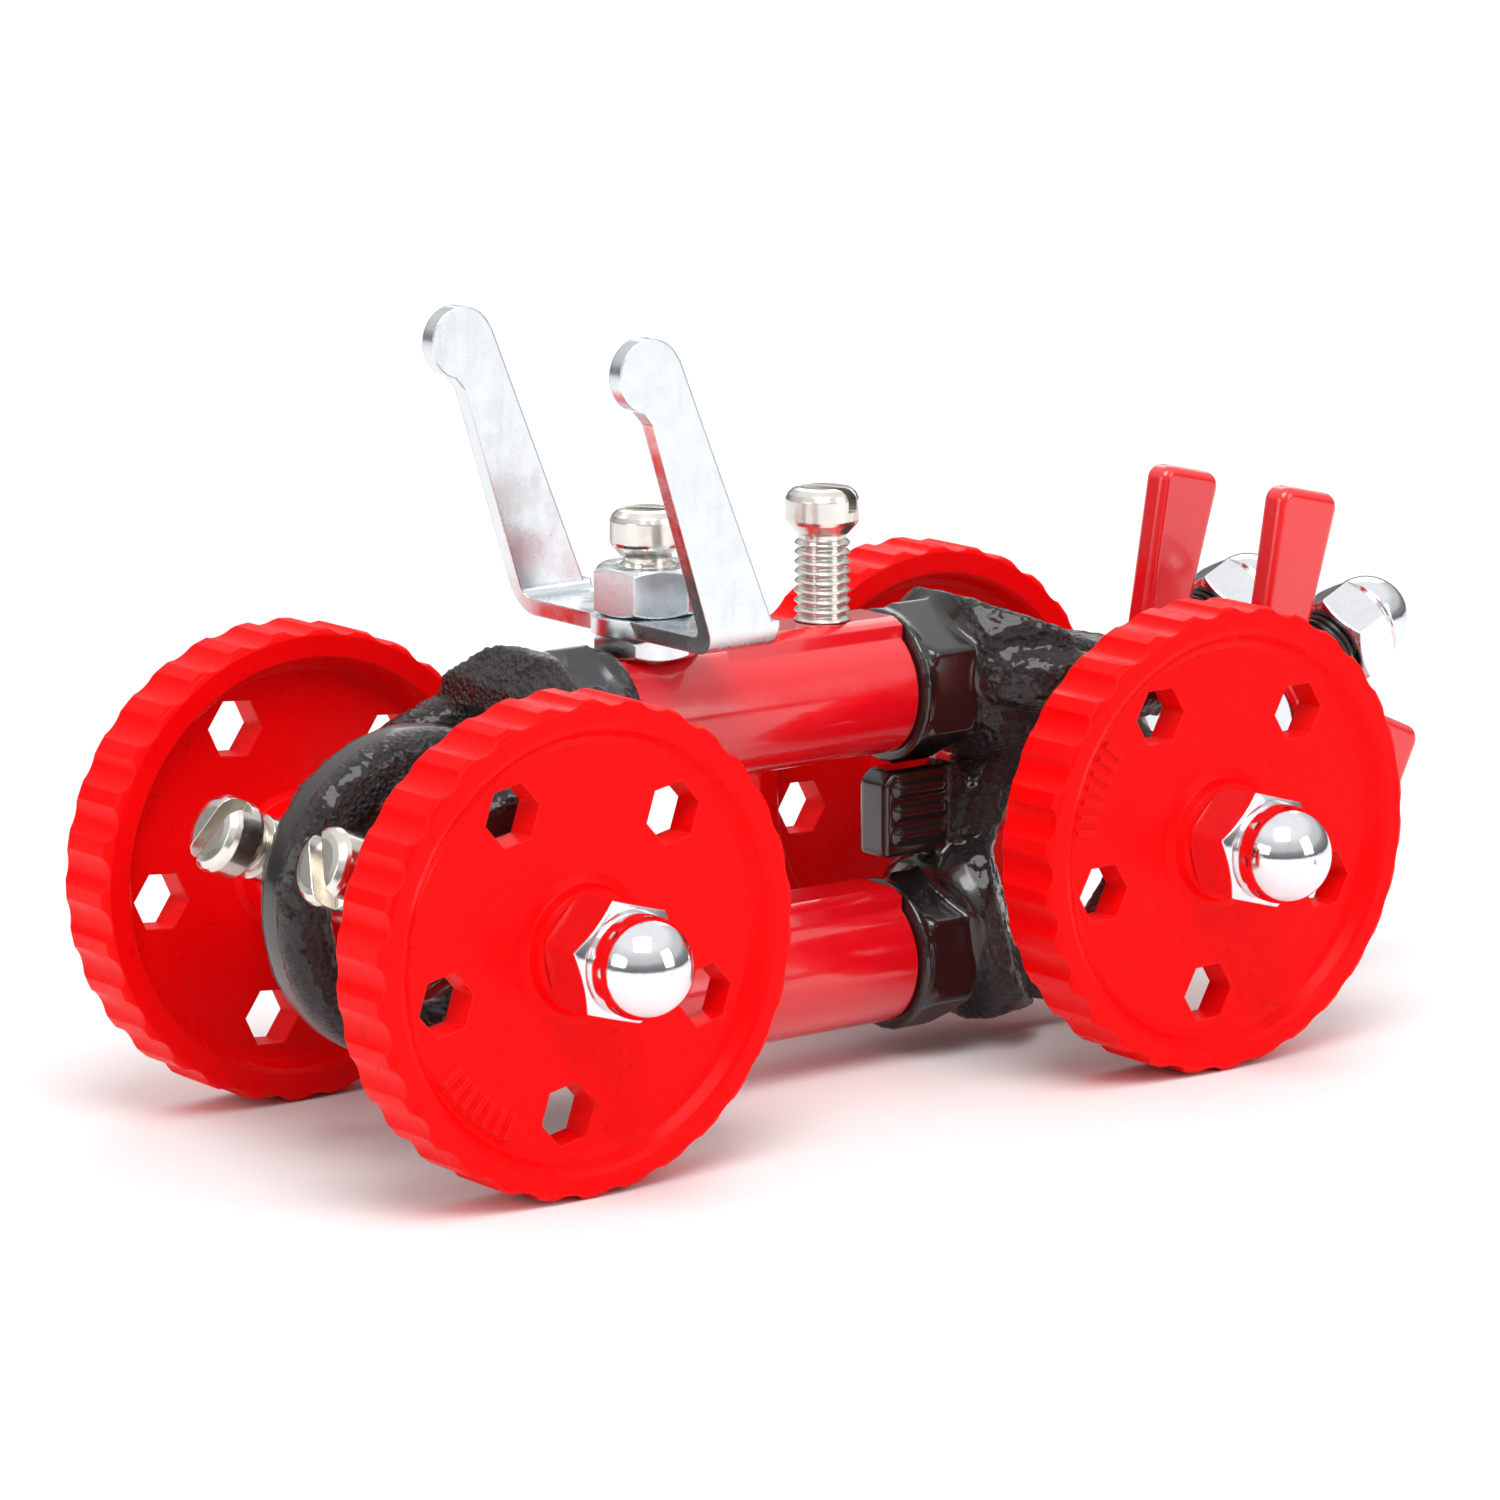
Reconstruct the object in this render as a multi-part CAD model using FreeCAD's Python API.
import FreeCAD, Part
import math
import os

# Four-wheeled car: two bars one above the other, joined to the axles by cast eyes, with
# lamps in front, wing nuts behind and a windscreen bracket on top.
# The front faces -Y, the left side is +X and the wheels stand on Z = 0. It is built with
# Y = 0 midway between the axles; save() moves Y = 0 to the middle of the whole length.
# All lengths in millimetres, all angles in degrees.

os.makedirs("parts", exist_ok=True)
Vector = FreeCAD.Vector
ORIGIN, X, Y, Z = Vector(0, 0, 0), Vector(1, 0, 0), Vector(0, 1, 0), Vector(0, 0, 1)
SIDES = (("left", 1), ("right", -1))

# ---------------------------------------------------------------- shared dimensions
ORIGIN_Y = 9.3594         # middle of the whole length, behind the middle of the wheelbase
WHEEL_R = 25.0            # wheel radius; the axles sit at this height
WHEEL_W = 8.2             # width over the rims
TRACK = 49.9              # between the wheel centre planes
AXLE_Y = 41.55            # half the wheelbase

ROD_R = 2.95              # threaded rod, crests
TAP_R = 2.97              # tapped bores
BORE_R = 3.00             # running bores on the rod
THREAD_PITCH = 1.0
THREAD_DEPTH = 0.45
GAP = 0.05                # running play

NUT_AF = 10.0             # plain nuts, across flats
NUT_H = 5.0

SLEEVE_R = 5.0            # cross-drilled axle sleeves
SLEEVE_HALF = 15.75
SCREW_X = 9.8             # lamps and tail studs stand this far off the middle
SCREW_FOOT = 3.1          # inner end of screws and studs above the axis they stand on

BAR_R = 7.2
BAR_Y0_UP = -19.2         # the upper bar reaches further forward, under the bracket
BAR_Y0_LO = -16.6
BAR_Y1 = 17.2
BAR_Z_UP, BAR_Z_LO = 40.3, 11.0

BRACKET_Y = -13.2         # screw of the windscreen bracket
LEVER_Y = 9.6             # slotted screw in the upper bar

ARC_INSET = 1 - math.sqrt(0.5)    # inset of a quarter arc's middle, per unit of radius


# ---------------------------------------------------------------- helpers
def save(name, shape):
    shape = Part.makeCompound(shape) if isinstance(shape, list) else shape.copy()
    shape.translate(Vector(0, -ORIGIN_Y, 0))
    shape.exportStep("parts/%s.step" % name)


def cosd(angle):
    return math.cos(math.radians(angle))


def sind(angle):
    return math.sin(math.radians(angle))


def cylinder(radius, height, base=ORIGIN, axis=Z):
    return Part.makeCylinder(radius, height, base, axis)


def polygon_face(points):
    return Part.Face(Part.makePolygon(points + points[:1]))


def closed_wire(steps):
    """Closed wire in the XZ plane: (x, z) is a line to there, (mid x, mid z, x, z) an arc."""
    start = Vector(steps[-1][-2], 0, steps[-1][-1])
    edges = []
    for step in steps:
        end = Vector(step[-2], 0, step[-1])
        if len(step) == 2:
            edges.append(Part.makeLine(start, end))
        else:
            edges.append(Part.Arc(start, Vector(step[0], 0, step[1]), end).toShape())
        start = end
    return Part.Wire(edges)


def side_plate(half, points):
    """Outline of (y, z) points, extruded across X to half either side of the middle."""
    face = polygon_face([Vector(-half, y, z) for y, z in points])
    return face.extrude(Vector(2 * half, 0, 0))


def place(shape, base=ORIGIN, axis=Z, spin=0.0):
    """Spin about local Z, then local Z to the given axis and local origin to base."""
    shape = shape.copy()
    turn = FreeCAD.Placement(base, FreeCAD.Rotation(Z, axis))
    placement = turn.multiply(FreeCAD.Placement(ORIGIN, FreeCAD.Rotation(Z, spin)))
    shape.transformShape(placement.toMatrix(), True)
    return shape


def frame(shape, origin, x_axis, z_axis):
    """Local X to x_axis, local Z to z_axis (both unit, perpendicular)."""
    y_axis = z_axis.cross(x_axis)
    matrix = FreeCAD.Matrix(x_axis.x, y_axis.x, z_axis.x, origin.x,
                            x_axis.y, y_axis.y, z_axis.y, origin.y,
                            x_axis.z, y_axis.z, z_axis.z, origin.z,
                            0, 0, 0, 1)
    shape = shape.copy()
    shape.transformShape(matrix, True)
    return shape


def revolve(points, base=ORIGIN, axis=Z):
    """Solid of revolution of (radius, height) points about local Z, then placed."""
    face = polygon_face([Vector(radius, 0, height) for radius, height in points])
    return place(face.revolve(ORIGIN, Z, 360), base, axis)


def chamfered_rod(radius, low, high, chamfer, base=ORIGIN, axis=Z):
    return revolve([(0, low), (radius - chamfer, low), (radius, low + chamfer),
                    (radius, high - chamfer), (radius - chamfer, high), (0, high)],
                   base, axis)


# ---------------------------------------------------------------- nuts and screws
def hex_prism(across_flats, height):
    radius = across_flats / math.sqrt(3.0)
    corners = [Vector(radius * cosd(60 * i), radius * sind(60 * i), 0) for i in range(6)]
    return polygon_face(corners).extrude(Vector(0, 0, height))


def nut_body(across_flats, height, face_ratio=0.965):
    """Hexagon with 30 degree chamfers; face_ratio is end face diameter over flats."""
    corner_r = across_flats / math.sqrt(3.0)
    face_r = across_flats / 2.0 * face_ratio
    margin = 0.3
    slope = math.tan(math.radians(30))
    chamfer = (corner_r - face_r) * slope + margin * slope
    envelope = revolve([(0, 0), (face_r, 0), (corner_r + margin, chamfer),
                        (corner_r + margin, height - chamfer), (face_r, height),
                        (0, height)])
    return hex_prism(across_flats, height).common(envelope)


def countersink(height, inward, widening, depth):
    """Cutter for the mouth of a tapped bore; inward is +1 or -1 along Z."""
    outer = height - inward * 0.01
    inner = height + inward * depth
    return revolve([(0, outer), (TAP_R + widening, outer), (TAP_R, inner), (0, inner)])


def nut(height):
    body = nut_body(NUT_AF, height)
    return (body.cut(cylinder(TAP_R, height + 2, Vector(0, 0, -1)))
            .cut(countersink(0, 1, 0.35, 0.34))
            .cut(countersink(height, -1, 0.35, 0.34)))


def cap_nut(across_flats, hex_h, dome_r, total, depth):
    """Domed cap nut, open end at local Z = 0."""
    body = nut_body(across_flats, hex_h)
    dome_z = total - dome_r
    groove_r = dome_r - 0.35
    wire = closed_wire([
        (groove_r, hex_h - 1.0), (groove_r, hex_h + 0.35), (dome_r, hex_h + 0.7),
        (dome_r, dome_z),
        (dome_r * cosd(45), dome_z + dome_r * sind(45), 0, total),
        (0, hex_h - 1.0)])
    shape = body.fuse(Part.Face(wire).revolve(ORIGIN, Z, 360))
    return (shape.cut(cylinder(TAP_R, depth)).cut(countersink(0, 1, 0.4, 0.4))
            .removeSplitter())


def thread_points(low, high):
    """(radius, height) points of a ridged rod between low and high."""
    root = ROD_R - THREAD_DEPTH
    count = int((high - low) / THREAD_PITCH)
    pitch = (high - low) / count
    points = [(root, low)]
    for i in range(count):
        start = low + i * pitch
        points += [(ROD_R, start + 0.44 * pitch), (ROD_R, start + 0.56 * pitch),
                   (root, start + pitch)]
    return points


def slotted_screw(foot, head_z, thread_lo, thread_hi, head_r=3.9, head_h=4.9,
                  slot_w=1.7, slot_d=2.4, slot_turn=0.0, collar=None):
    """Slotted drum head screw on local Z; collar is (low, high, radius).
    It has no ridges where thread_lo equals thread_hi."""
    neck_r = ROD_R - THREAD_DEPTH
    top = head_z + head_h
    points = [(0, foot), (ROD_R - 0.5, foot), (ROD_R, foot + 0.5), (ROD_R, thread_lo)]
    if thread_hi > thread_lo:
        points += thread_points(thread_lo, thread_hi)
    if collar:
        low, high, radius = collar
        points += [(ROD_R, low), (radius, low), (radius, high)]
    points += [(neck_r, head_z - 0.45), (neck_r, head_z), (head_r - 1.15, head_z),
               (head_r - 0.15, head_z + 1.1), (head_r, head_z + 1.5),
               (head_r, top - 1.2), (head_r - 0.25, top - 0.65),
               (head_r - 0.8, top - 0.15), (head_r - 1.5, top), (0, top)]
    slot = Part.makeBox(2 * head_r + 2, slot_w, slot_d + 1,
                        Vector(-head_r - 1, -slot_w / 2, top - slot_d))
    slot.rotate(ORIGIN, Z, slot_turn)
    return revolve(points).cut(slot)


NUT = nut(NUT_H)

# ---------------------------------------------------------------- wheels
HALF_W = WHEEL_W / 2
# (radius, distance outwards from the centre plane): inner side, tread, outer side
WHEEL_PROFILE = [
    (BORE_R, -HALF_W), (6.3, -HALF_W), (6.6, -HALF_W + 0.3), (6.9, -1.5), (7.6, -1.1),
    (20.2, -1.1), (21.0, -1.6), (21.5, -HALF_W + 0.5), (22.0, -HALF_W), (24.3, -HALF_W),
    (24.75, -HALF_W + 0.25), (WHEEL_R, -HALF_W + 0.7),
    (WHEEL_R, HALF_W - 0.7), (24.75, HALF_W - 0.25), (24.3, HALF_W), (22.6, HALF_W),
    (22.0, HALF_W - 0.25), (21.2, 2.9), (20.4, 2.4), (7.6, 2.4), (6.7, 2.75),
    (6.2, HALF_W - 0.3), (5.8, HALF_W), (BORE_R, HALF_W)]
TREAD_LOBES = 30
HOLLOW_R = 3.1            # hollows between the lobes
HOLLOW_PCR = 27.45        # pitch radius of the hollows
HOLES = 5                 # hexagonal holes
HOLE_PCR = 16.5
HOLE_AF = 5.7
TICKS = 7                 # one row of ticks near the rim, between two holes
TICK_STEP = 4.6           # angle from tick to tick
# (name, side, Y, turn of the hole pattern about X)
WHEELS = (("front_left", 1, -AXLE_Y, 191.5), ("rear_left", 1, AXLE_Y, 121.0),
          ("front_right", -1, -AXLE_Y, -65.0), ("rear_right", -1, AXLE_Y, -62.0))


def wheel():
    """Wheel on the X axis, outer side towards +X."""
    shape = revolve(WHEEL_PROFILE)
    cutters = []
    for i in range(TREAD_LOBES):
        angle = 360.0 / TREAD_LOBES * i
        centre = Vector(HOLLOW_PCR * cosd(angle), HOLLOW_PCR * sind(angle), -10)
        cutters.append(cylinder(HOLLOW_R, 20, centre))
    for i in range(HOLES):
        angle = 360.0 / HOLES * i
        hole = hex_prism(HOLE_AF, 20)
        hole.translate(Vector(HOLE_PCR * cosd(angle), HOLE_PCR * sind(angle), -10))
        cutters.append(hole)
    shape = shape.cut(Part.makeCompound(cutters))
    ticks = []
    for i in range(TICKS):
        tick = Part.makeBox(2.6, 0.6, 0.85, Vector(17.6, -0.3, 2.0))
        tick.rotate(ORIGIN, Z, 180.0 / HOLES + (i - TICKS // 2) * TICK_STEP)
        ticks.append(tick)
    return frame(shape.fuse(ticks), ORIGIN, Y, X)


WHEEL = wheel()
for name, side, y, turn in WHEELS:
    turned = WHEEL.copy()
    if side < 0:
        turned.rotate(ORIGIN, Z, 180)
    turned.rotate(ORIGIN, X, turn)
    turned.translate(Vector(side * TRACK / 2, y, WHEEL_R))
    save(name + "_wheel", turned)

# ---------------------------------------------------------------- axles, nuts and sleeves
CAP_X = TRACK / 2 + WHEEL_W / 2 + GAP
AXLE_HALF = CAP_X + 10.3
AXLE_CAP = cap_nut(across_flats=11.3, hex_h=6.2, dome_r=5.2, total=13.2, depth=10.6)
LAMP_PITCH = 23.0         # above the horizontal, forwards
TAIL_PITCH = 25.0         # above the horizontal, rearwards
LAMP_AXIS = Vector(0, -cosd(LAMP_PITCH), sind(LAMP_PITCH))
TAIL_AXIS = Vector(0, cosd(TAIL_PITCH), sind(TAIL_PITCH))


def sleeve(y, drill_axis):
    shape = revolve([(TAP_R, -SLEEVE_HALF), (SLEEVE_R - 0.5, -SLEEVE_HALF),
                     (SLEEVE_R, -SLEEVE_HALF + 0.5), (SLEEVE_R, SLEEVE_HALF - 0.5),
                     (SLEEVE_R - 0.5, SLEEVE_HALF), (TAP_R, SLEEVE_HALF)],
                    Vector(0, y, WHEEL_R), X)
    for x in (SCREW_X, -SCREW_X):
        shape = shape.cut(cylinder(TAP_R, 8.0, Vector(x, y, WHEEL_R), drill_axis))
    return shape


for end, y, drill_axis in (("front", -AXLE_Y, LAMP_AXIS), ("rear", AXLE_Y, TAIL_AXIS)):
    for side_name, side in SIDES:
        outwards = Vector(side, 0, 0)
        save("%s_%s_cap_nut" % (end, side_name),
             place(AXLE_CAP, Vector(side * CAP_X, y, WHEEL_R), outwards, spin=14.0))
        save("%s_%s_inner_nut" % (end, side_name),
             place(NUT, Vector(side * SLEEVE_HALF, y, WHEEL_R), outwards, spin=20.0))
    save("%s_axle" % end,
         chamfered_rod(ROD_R, -AXLE_HALF, AXLE_HALF, 0.6, Vector(0, y, WHEEL_R), X))
    save("%s_axle_sleeve" % end, sleeve(y, drill_axis))

# ---------------------------------------------------------------- lamps
for (side_name, side), slot_turn in zip(SIDES, (125.0, 60.0)):
    lamp = slotted_screw(SCREW_FOOT, 15.9, thread_lo=11.0, thread_hi=11.0, head_r=4.05,
                         head_h=5.1, slot_w=1.9, slot_d=2.7, slot_turn=slot_turn,
                         collar=(13.6, 15.2, 3.45))
    save("%s_lamp_screw" % side_name,
         place(lamp, Vector(side * SCREW_X, -AXLE_Y, WHEEL_R), LAMP_AXIS))

# ---------------------------------------------------------------- bars
RIDGE_HALF = 4.3          # flat-topped ridge along the top of each bar
RIDGE_TOP = 7.9           # above the bar axis
RIDGE_Y0 = -3.8           # front end of its flat top
RIDGE_Y1 = BAR_Y1 - 0.25
RIDGE_LIMIT_R = 8.35      # rounds the ridge about the bar axis
RIDGE_OUTLINE = [         # (y, height above the bar axis)
    (RIDGE_Y0, RIDGE_TOP), (RIDGE_Y1, RIDGE_TOP), (RIDGE_Y1, 2.0),
    (RIDGE_Y0 - 3.2, 2.0), (RIDGE_Y0 - 2.4, 5.6)]
SEAT_DROP = 0.3           # spot face for the bracket's lower nut
SEAT_R = 6.0
END_TAP = 4.6             # depth of the tapped holes in the bar ends


def bar(bar_z, y0, taps=(), seat_y=None):
    shape = chamfered_rod(BAR_R, y0, BAR_Y1, 0.4, ORIGIN, Y)
    ridge = side_plate(RIDGE_HALF, RIDGE_OUTLINE).common(
        revolve([(0, -30), (RIDGE_LIMIT_R, -30), (RIDGE_LIMIT_R, 30), (0, 30)], ORIGIN, Y))
    shape = shape.fuse(ridge).removeSplitter()
    shape.translate(Vector(0, 0, bar_z))
    shape = shape.cut(cylinder(TAP_R, END_TAP, Vector(0, y0, bar_z), Y))
    shape = shape.cut(cylinder(TAP_R, END_TAP, Vector(0, BAR_Y1, bar_z), -Y))
    for y in taps:
        shape = shape.cut(cylinder(TAP_R, 10.0, Vector(0, y, bar_z + 3.05)))
    if seat_y is not None:
        seat = Vector(0, seat_y, bar_z + BAR_R - SEAT_DROP)
        shape = shape.cut(cylinder(SEAT_R, 5.0, seat))
    return shape


save("upper_bar", bar(BAR_Z_UP, BAR_Y0_UP, taps=(BRACKET_Y, LEVER_Y), seat_y=BRACKET_Y))
save("lower_bar", bar(BAR_Z_LO, BAR_Y0_LO))

# each stud reaches 4.4 into the bar and 7.4 into the casting
save("bar_end_studs",
     [chamfered_rod(ROD_R, -4.4, 7.4, 0.5, Vector(0, y, bar_z), Vector(0, sign, 0))
      for bar_z, y0 in ((BAR_Z_UP, BAR_Y0_UP), (BAR_Z_LO, BAR_Y0_LO))
      for y, sign in ((y0, -1), (BAR_Y1, 1))])

# ---------------------------------------------------------------- eye castings
HEX_AF = 15.2             # hexagon sockets
HEX_L = 7.6               # collar and hexagon together
HEX_START = 0.9           # the collar comes first
COLLAR_R = 8.3
NECK_SINK = 0.5           # the neck starts this deep in the hexagon


def eye_ring(mid_r, width, thick, corner):
    """Ring about local Z; its section is a rounded rectangle, width measured radially."""
    inner, outer = mid_r - width / 2.0, mid_r + width / 2.0
    half = thick / 2.0
    inset = corner * ARC_INSET
    wire = closed_wire([
        (outer - corner, -half),
        (outer - inset, -half + inset, outer, -half + corner),
        (outer, half - corner),
        (outer - inset, half - inset, outer - corner, half),
        (inner + corner, half),
        (inner + inset, half - inset, inner, half - corner),
        (inner, -half + corner),
        (inner + inset, -half + inset, inner + corner, -half)])
    ring = Part.Face(wire).revolve(ORIGIN, Z, 360)
    ring.rotate(ORIGIN, Z, 167.0)          # seam away from the neck
    return ring


def neck_solid(start, end, thin, radii, halves):
    """Turned neck from start to end, flattened along the thin direction.
    radii: (fraction of the length, radius); halves: (fraction, half thickness)."""
    z_axis = end - start
    length = z_axis.Length
    z_axis = z_axis.normalize()
    x_axis = (thin - z_axis * thin.dot(z_axis)).normalize()
    cone = revolve([(0, radii[0][0] * length)]
                   + [(radius, fraction * length) for fraction, radius in radii]
                   + [(0, radii[-1][0] * length)])
    right = [Vector(half, -30, fraction * length) for fraction, half in halves]
    left = [Vector(-half, -30, fraction * length) for fraction, half in reversed(halves)]
    slab = polygon_face(right + left).extrude(Vector(0, 60, 0))
    return frame(cone.common(slab), start, x_axis, z_axis)


def casting(base, sign, centre, normal, mid_r, width, thick, corner, neck,
            fill_from=None, lug=None):
    """Hexagon socket on the bar end at base, pointing along sign * Y, plus a cast eye.
    The eye's opening stays filled beyond fill_from, measured towards the socket."""
    outwards = Vector(0, sign, 0)
    hexagon = place(nut_body(HEX_AF, HEX_L - HEX_START, face_ratio=0.99), ORIGIN, outwards)
    hexagon.rotate(ORIGIN, Y, 30.0)        # two flats face sideways
    hexagon.translate(base + outwards * HEX_START)
    collar = revolve([(0, 0), (COLLAR_R - 0.35, 0), (COLLAR_R, 0.35), (COLLAR_R, 0.7),
                      (COLLAR_R - 0.4, 1.1), (0, 1.1)], base, outwards)
    body = hexagon.fuse(collar)

    to_socket = base + outwards * HEX_L - centre
    x_axis = (to_socket - normal * to_socket.dot(normal)).normalize()
    ring = frame(eye_ring(mid_r, width, thick, corner), centre, x_axis, normal)
    eye = ring.fuse(neck)
    if lug is not None:
        eye = eye.fuse(lug)
    opening = cylinder(mid_r - width / 2.0, 40, Vector(0, 0, -20))
    if fill_from is not None:
        opening = opening.cut(Part.makeBox(40, 60, 60, Vector(fill_from, -30, -30)))
    opening = frame(opening, centre, x_axis, normal)
    shape = body.fuse(eye.cut(opening))
    return shape.cut(cylinder(TAP_R, HEX_L, base, outwards)).removeSplitter()


def neck_start(base, sign):
    return base + Vector(0, sign * (HEX_L - NECK_SINK), 0)


def upper_eye(bar_y, sign, centre, pitch, lift, radii, halves, **ring):
    """Eye lying flat, pitched down away from the bar; lift raises the neck's far end."""
    base = Vector(0, bar_y, BAR_Z_UP)
    normal = Vector(0, sign * sind(pitch), cosd(pitch))
    away = Vector(0, sign * cosd(pitch), -sind(pitch))
    neck = neck_solid(neck_start(base, sign), centre - away * 5.0 + normal * lift, Z,
                      radii, halves)
    return casting(base, sign, centre, normal, neck=neck, **ring)


def front_lower_eye():
    """Upright eye ahead of the bar; its filled side lies behind the front axle sleeve."""
    base = Vector(0, BAR_Y0_LO, BAR_Z_LO)
    centre = Vector(0, -43.0, 26.1)
    to_socket = (base - Y * HEX_L - centre).normalize()
    axle_offset = (Vector(0, -AXLE_Y, WHEEL_R) - centre).dot(to_socket)
    neck = neck_solid(neck_start(base, -1), centre + to_socket * 10.6, X,
                      radii=[(0, 7.0), (0.12, 9.3), (0.45, 10.4), (1.0, 10.6)],
                      halves=[(-0.05, 9.0), (0.5, 8.6), (1.02, 4.2)])
    return casting(base, -1, centre, X, mid_r=14.05, width=6.3, thick=7.2, corner=2.8,
                   neck=neck, fill_from=axle_offset + SLEEVE_R + 0.03)


LUG_HALF = 2.3
LUG_OUTLINE = [           # (y, z) of the lug on the rear lower eye
    (16.3, 21.8), (16.3, 30.0), (17.5, 31.2), (25.8, 31.2), (28.6, 29.2),
    (30.2, 24.0), (30.0, 13.5), (26.4, 13.5), (25.8, 21.8)]
LUG_RIBS_Z = (23.6, 26.1, 28.6)    # three level ribs on its left face


def rear_lower_eye():
    """Upright eye hanging on the rear axle sleeve."""
    base = Vector(0, BAR_Y1, BAR_Z_LO)
    inner_r, outer_r = 10.2, 17.0
    centre = Vector(0, AXLE_Y, WHEEL_R - (inner_r - SLEEVE_R) + 0.02)
    neck = neck_solid(neck_start(base, 1), Vector(0, AXLE_Y - 9.6, 13.6), X,
                      radii=[(0, 7.0), (0.16, 9.7), (0.45, 10.7), (1.0, 11.4)],
                      halves=[(-0.05, 9.2), (0.5, 8.8), (1.02, 4.3)])
    ribs = [Part.makeBox(0.7, 6.6, 1.1, Vector(LUG_HALF - 0.1, 17.7, z))
            for z in LUG_RIBS_Z]
    lug = side_plate(LUG_HALF, LUG_OUTLINE).fuse(ribs)
    return casting(base, 1, centre, X, mid_r=(inner_r + outer_r) / 2,
                   width=outer_r - inner_r, thick=7.2, corner=2.4, neck=neck, lug=lug)


save("front_upper_eye_nut", upper_eye(
    BAR_Y0_UP, -1, Vector(0, -35.5, 38.0), pitch=25.0, lift=0.3,
    radii=[(0, 7.0), (0.2, 9.1), (0.6, 11.2), (1.0, 13.4)],
    halves=[(-0.05, 8.95), (0.5, 8.7), (1.02, 4.4)],
    mid_r=13.0, width=5.4, thick=5.6, corner=2.3, fill_from=6.0))
save("front_lower_eye_nut", front_lower_eye())
save("rear_upper_eye_nut", upper_eye(
    BAR_Y1, 1, Vector(0, 38.8, 39.8), pitch=8.0, lift=1.3,
    radii=[(0, 7.0), (0.2, 9.5), (0.6, 11.4), (1.0, 13.6)],
    halves=[(-0.05, 9.5), (0.22, 9.3), (0.5, 7.6), (1.02, 4.2)],
    mid_r=13.4, width=6.2, thick=6.6, corner=2.5, fill_from=5.6))
save("rear_lower_eye_nut", rear_lower_eye())

# ---------------------------------------------------------------- windscreen bracket
BRACKET_T = 1.9
BRACKET_X = 17.25         # outer faces of the two arms
BEND_R = 3.0              # outside of the bends
ARM_H = 34.0              # height of the U before the arms are trimmed
FOOT_HALF = 3.9           # half the depth of the base strip
PAD_R = 5.9               # round pad under the upper nut
ARM_OUTLINE = [           # (y from the screw, z over the plate underside)
    (FOOT_HALF, -1), (FOOT_HALF, 0.6), (-8.55, 30.7), (-13.2, 25.8), (-11.9, 24.3),
    (-FOOT_HALF, -1)]
ARM_HEAD_R = 3.75         # rounded head of each arm
ARM_HEAD_Y, ARM_HEAD_Z = -12.1, 29.2
LOWER_NUT_H = 2.4
BAR_TOP = BAR_Z_UP + BAR_R - SEAT_DROP
PLATE_Z = BAR_TOP + LOWER_NUT_H + GAP
UPPER_NUT_Z = PLATE_Z + BRACKET_T + GAP


def bracket():
    """U of bent plate, seen from the front, trimmed to its outline seen from the side."""
    outer, inner = BRACKET_X, BRACKET_X - BRACKET_T
    flat = BRACKET_X - BEND_R
    bend = BEND_R * ARC_INSET
    inner_bend = (BEND_R - BRACKET_T) * ARC_INSET
    bend_z = BRACKET_T + inner_bend
    wire = closed_wire([
        (-outer, BEND_R), (-outer + bend, bend, -flat, 0),
        (flat, 0), (outer - bend, bend, outer, BEND_R),
        (outer, ARM_H), (inner, ARM_H),
        (inner, BEND_R), (inner - inner_bend, bend_z, flat, BRACKET_T),
        (-flat, BRACKET_T), (-inner + inner_bend, bend_z, -inner, BEND_R),
        (-inner, ARM_H), (-outer, ARM_H)])
    channel = Part.Face(wire).extrude(Vector(0, 60, 0))
    channel.translate(Vector(0, -30, 0))
    head = cylinder(ARM_HEAD_R, 60, Vector(-30, ARM_HEAD_Y, ARM_HEAD_Z), X)
    foot = Part.makeBox(60, 2 * FOOT_HALF, 4, Vector(-30, -FOOT_HALF, -1))
    side = side_plate(30, ARM_OUTLINE).fuse(head).fuse(foot)
    shape = channel.common(side).fuse(cylinder(PAD_R, BRACKET_T))
    shape = shape.cut(cylinder(BORE_R, 10, Vector(0, 0, -5))).removeSplitter()
    return place(shape, Vector(0, BRACKET_Y, PLATE_Z))


save("windscreen_bracket", bracket())
save("bracket_lower_nut",
     place(nut(LOWER_NUT_H), Vector(0, BRACKET_Y, BAR_TOP), spin=10.0))
save("bracket_upper_nut", place(NUT, Vector(0, BRACKET_Y, UPPER_NUT_Z), spin=10.0))
bracket_screw = slotted_screw(BAR_Z_UP + SCREW_FOOT, UPPER_NUT_Z + 5.9,
                              thread_lo=BAR_Z_UP + 3.7, thread_hi=UPPER_NUT_Z + 5.4,
                              slot_turn=35.0)
save("bracket_screw", place(bracket_screw, Vector(0, BRACKET_Y, 0)))
lever_screw = slotted_screw(BAR_Z_UP + SCREW_FOOT, 57.5, thread_lo=BAR_Z_UP + 4.5,
                            thread_hi=57.0, slot_turn=20.0)
save("lever_screw", place(lever_screw, Vector(0, LEVER_Y, 0)))

# ---------------------------------------------------------------- tail studs, wing nuts
# distances along the stud, from the rear axle
WING_H = 8.15             # hub of the wing nut
SPRING_L = 3.1
LOCK_AT = 18.3
WING_AT = LOCK_AT + NUT_H + GAP
SPRING_AT = WING_AT + WING_H + GAP
CAP_AT = SPRING_AT + SPRING_L + 0.02
STUD_END = CAP_AT + 8.4
STUD_THREAD = (6.0, 18.0)

BLADE_FLARE = 52.0        # each blade leans this far off the stud
BLADE_ROOT = (2.6, 2.9)   # (x, z) of the middle of its root
BLADE_L = 19.6
BLADE_ROOT_HALF, BLADE_TIP_HALF = 3.2, 4.3
BLADE_CORNER = 1.7
BLADE_HALF_T = 1.7

SPRING_IN, SPRING_OUT = 3.3, 4.25
SPRING_COILS = 3


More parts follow.
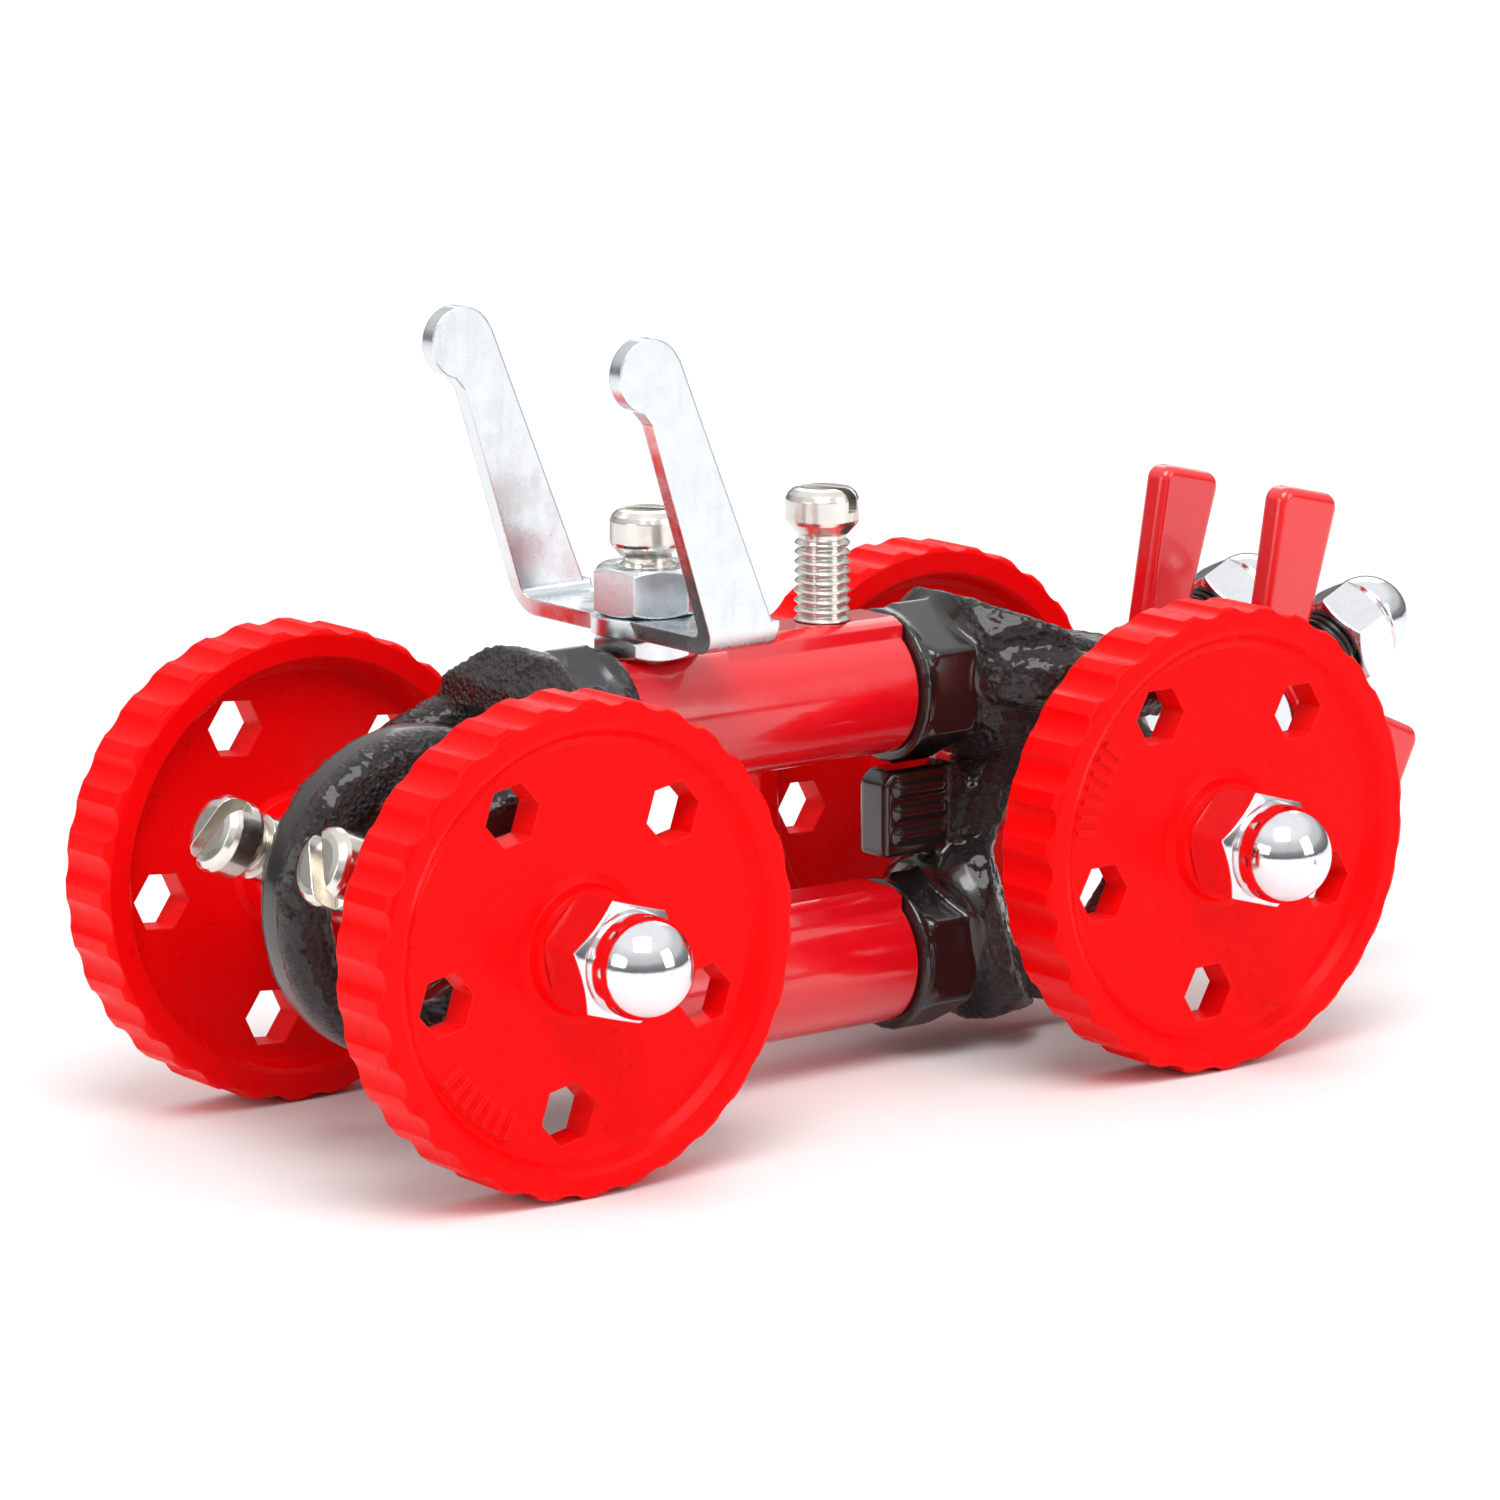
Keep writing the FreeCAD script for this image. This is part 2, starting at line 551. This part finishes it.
def wing_blade(sign):
    def at(along, across):
        return (sign * (BLADE_ROOT[0] + sind(BLADE_FLARE) * along
                        + cosd(BLADE_FLARE) * across),
                BLADE_ROOT[1] + cosd(BLADE_FLARE) * along - sind(BLADE_FLARE) * across)

    root, tip = BLADE_ROOT_HALF, BLADE_TIP_HALF
    shoulder = BLADE_L - BLADE_CORNER
    inset = BLADE_CORNER * ARC_INSET
    wire = closed_wire([
        at(0, root), at(shoulder, tip),
        at(BLADE_L - inset, tip - inset) + at(BLADE_L, tip - BLADE_CORNER),
        at(BLADE_L, -tip + BLADE_CORNER),
        at(BLADE_L - inset, -tip + inset) + at(shoulder, -tip),
        at(0, -root)])
    blade = Part.Face(wire).extrude(Vector(0, 2 * BLADE_HALF_T, 0))
    blade.translate(Vector(0, -BLADE_HALF_T, 0))
    rims = []                 # all edges lying in the two broad faces
    for edge in blade.Edges:
        first, last = edge.Vertexes[0].Point.y, edge.Vertexes[-1].Point.y
        if abs(abs(first) - BLADE_HALF_T) < 1e-6 and abs(first - last) < 1e-6:
            rims.append(edge)
    return blade.makeFillet(1.1, rims)


def wing_nut():
    """Local Z along the stud, wings in the local XZ plane."""
    hub = revolve([(0, 0), (5.3, 0), (5.6, 0.5), (4.55, WING_H - 0.6), (3.95, WING_H),
                   (0, WING_H)])
    shape = hub.fuse([wing_blade(1), wing_blade(-1)]).removeSplitter()
    shape = shape.cut(cylinder(BORE_R, 40, Vector(0, 0, -5)))
    # room for the spring between the blades
    shape = shape.cut(cylinder(4.6, 12, Vector(0, 0, WING_H)))
    # nothing below the foot of the hub
    return shape.common(revolve([(0, 0), (30, 0), (30, 40), (0, 40)]))


def spring():
    """Closed-up coil spring: a turned sleeve with one rounded ridge per coil."""
    pitch = SPRING_L / SPRING_COILS
    points = [(SPRING_IN, 0)]
    for i in range(SPRING_COILS):
        start = i * pitch
        # (depth below the crest, fraction of the coil)
        for depth, part in ((0.35, 0.02), (0.08, 0.22), (0, 0.5), (0.08, 0.78),
                            (0.35, 0.98)):
            points.append((SPRING_OUT - depth, start + part * pitch))
        if i < SPRING_COILS - 1:
            points.append((SPRING_OUT - 0.6, start + pitch))
    points.append((SPRING_IN, SPRING_L))
    return revolve(points)


def tail_stud():
    low, high = STUD_THREAD
    return revolve([(0, SCREW_FOOT), (ROD_R - 0.5, SCREW_FOOT), (ROD_R, SCREW_FOOT + 0.5),
                    (ROD_R, low)] + thread_points(low, high)
                   + [(ROD_R, high), (ROD_R, STUD_END - 0.5), (ROD_R - 0.5, STUD_END),
                      (0, STUD_END)])


TAIL_CAP = cap_nut(across_flats=NUT_AF, hex_h=5.0, dome_r=4.75, total=10.6, depth=8.6)
# (name, shape, distance along the stud, spin about it)
TAIL_PIECES = (("tail_stud", tail_stud(), 0.0, 0.0),
               ("tail_lock_nut", NUT, LOCK_AT, 12.0),
               ("wing_nut", wing_nut(), WING_AT, 0.0),
               ("tail_spring", spring(), SPRING_AT, 0.0),
               ("tail_cap_nut", TAIL_CAP, CAP_AT, 8.0))
for side_name, side in SIDES:
    foot = Vector(side * SCREW_X, AXLE_Y, WHEEL_R)
    for name, shape, distance, spin in TAIL_PIECES:
        spun = shape.copy()
        spun.rotate(ORIGIN, Z, spin)
        # local X goes to the upright plane of the stud, so the wings stand in it
        save("%s_%s" % (side_name, name),
             frame(spun, foot + TAIL_AXIS * distance, TAIL_AXIS.cross(X), TAIL_AXIS))
